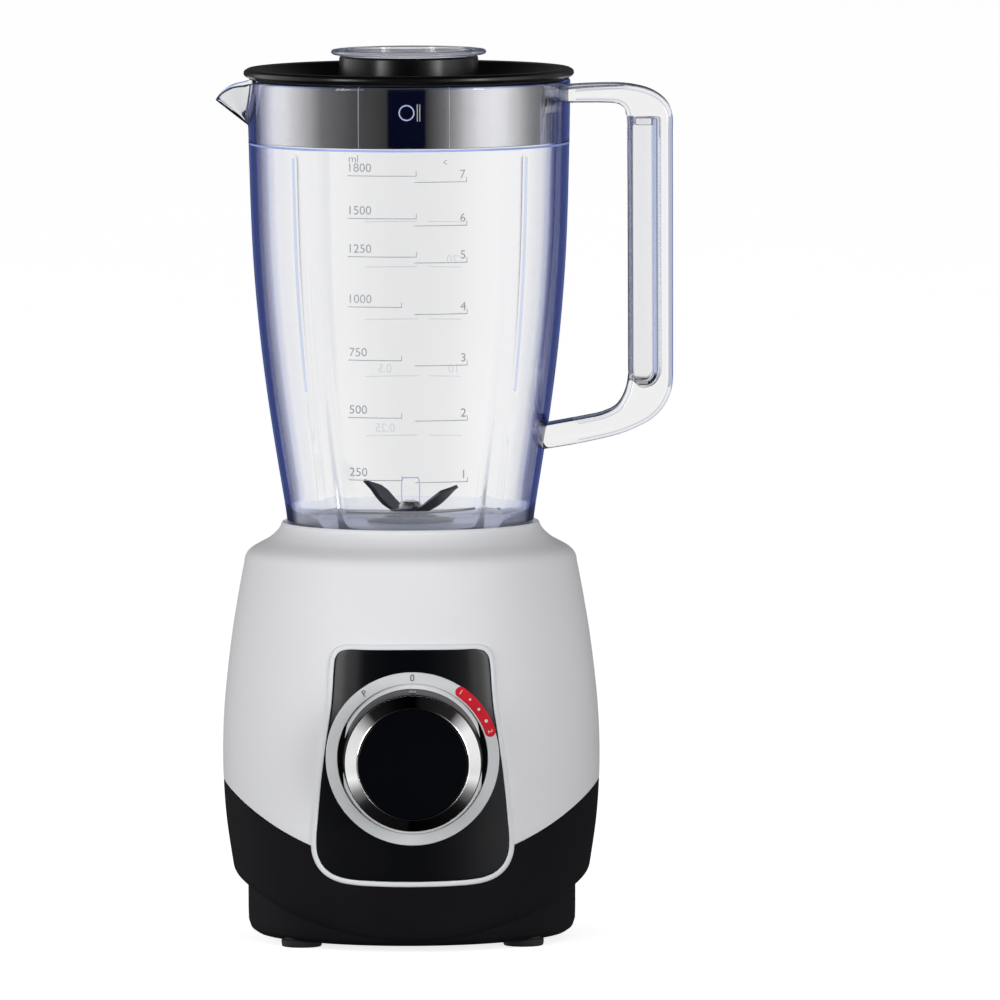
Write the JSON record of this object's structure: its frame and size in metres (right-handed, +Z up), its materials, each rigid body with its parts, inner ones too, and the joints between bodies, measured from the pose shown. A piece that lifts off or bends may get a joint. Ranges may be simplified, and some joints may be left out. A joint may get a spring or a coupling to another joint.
{
  "type": "countertop blender",
  "caption": "Countertop blender: round motor base with a rotary speed dial and a two-tone shell, clear jug with handle, spout and blades, plug-in lid and clear measuring cap.",
  "frame": {"origin": "centre of the overall footprint box on the table plane, under the feet; the motor axis stands at x -15.4 mm, y +12.75 mm, because the handle, spout and knob reach out unevenly", "axes": "+Z up along the motor axis, -Y to the front where the dial is, +X towards the jug's handle, -X towards the spout"},
  "size_m": [0.2002, 0.1908, 0.3914],
  "materials": {
    "white_housing": "satin injection moulded plastic",
    "dark_housing": "fine textured, near black",
    "dial_print": "pale grey, satin",
    "gloss_black": "high gloss",
    "chrome_trim": "bright",
    "clear_jug": "clear, with a blue tint",
    "blade_steel": "satin stainless",
    "plain_steel": "zinc plated",
    "core_steel": "varnished laminations",
    "copper_wire": "enamelled copper wire",
    "bushing_bronze": "sintered bronze",
    "rubber": "matte",
    "inner_plastic": "moulded nylon",
    "circuit_board": "solder mask",
    "carbon": "pressed carbon"
  },
  "bodies": {
    "base": {"upper_housing": "white_housing", "lower_housing": "dark_housing", "base_pan": "dark_housing", "foot_front_right": "rubber", "foot_front_left": "rubber", "foot_rear_right": "rubber", "foot_rear_left": "rubber", "base_screw_rear_right": "plain_steel", "base_screw_front_right": "plain_steel", "base_screw_rear_left": "plain_steel", "base_screw_front_left": "plain_steel", "faceplate": "gloss_black", "panel_frame": "white_housing", "dial_ring": "dial_print", "rotary_switch": "inner_plastic", "switch_nut": "plain_steel", "stator_core": "core_steel", "field_coil_rear": "copper_wire", "field_coil_front": "copper_wire", "motor_bracket_upper": "plain_steel", "motor_bracket_lower": "plain_steel", "bearing_upper": "plain_steel", "bearing_lower": "plain_steel", "motor_screw_rear": "plain_steel", "motor_screw_front": "plain_steel", "brush_holder_rear": "inner_plastic", "carbon_brush_rear": "carbon", "brush_holder_front": "inner_plastic", "carbon_brush_front": "carbon", "shaft_seal": "rubber", "speed_board": "circuit_board", "interlock_switch": "inner_plastic", "cord_inlet": "rubber"},
    "rotor": {"motor_shaft": "plain_steel", "armature_core": "core_steel", "armature_winding": "copper_wire", "commutator": "copper_wire", "cooling_fan": "inner_plastic", "drive_coupling": "inner_plastic"},
    "knob": {"knob": "gloss_black", "knob_trim_ring": "chrome_trim", "knob_cap": "gloss_black", "switch_shaft": "plain_steel"},
    "pin": {"interlock_pin": "dark_housing"},
    "jug": {"jug": "clear_jug", "handle_insert": "clear_jug", "blade_housing": "blade_steel", "floor_gasket": "rubber", "housing_nut": "inner_plastic", "spindle_bush_upper": "bushing_bronze", "spindle_bush_lower": "bushing_bronze"},
    "blades": {"blade_spindle": "blade_steel", "blade_lower": "blade_steel", "blade_upper": "blade_steel", "blade_nut": "blade_steel", "driven_coupling": "inner_plastic"},
    "lid": {"lid": "gloss_black", "lid_band": "chrome_trim", "lid_seal": "rubber"},
    "cap": {"measuring_cap": "clear_jug"}
  },
  "joints": [
    {"name": "motor_spin", "type": "hinge", "parent": "base", "child": "rotor", "pos_m": [-0.0154, 0.01275, 0.1], "axis": [0, 0, 1], "continuous": true},
    {"name": "knob_turn", "type": "hinge", "parent": "base", "child": "knob", "pos_m": [-0.0154, -0.07225, 0.0859], "axis": [0, 1, 0], "range_deg": [-35, 73]},
    {"name": "jug_lift", "type": "slide", "parent": "base", "child": "jug", "axis": [0, 0, 1], "range_m": [0, 0.1]},
    {"name": "interlock_press", "type": "slide", "parent": "base", "child": "pin", "axis": [0, 0, 1], "range_m": [0, 0.003]},
    {"name": "blade_spin", "type": "hinge", "parent": "jug", "child": "blades", "pos_m": [-0.0154, 0.01275, 0.18], "axis": [0, 0, 1], "continuous": true},
    {"name": "lid_lift", "type": "slide", "parent": "jug", "child": "lid", "axis": [0, 0, 1], "range_m": [0, 0.12]},
    {"name": "cap_lift", "type": "slide", "parent": "lid", "child": "cap", "axis": [0, 0, 1], "range_m": [0, 0.08]}
  ],
  "couplings": [
    {"joint": "blade_spin", "follows": "motor_spin", "ratio": 1},
    {"joint": "interlock_press", "follows": "jug_lift", "ratio": 0.03}
  ]
}
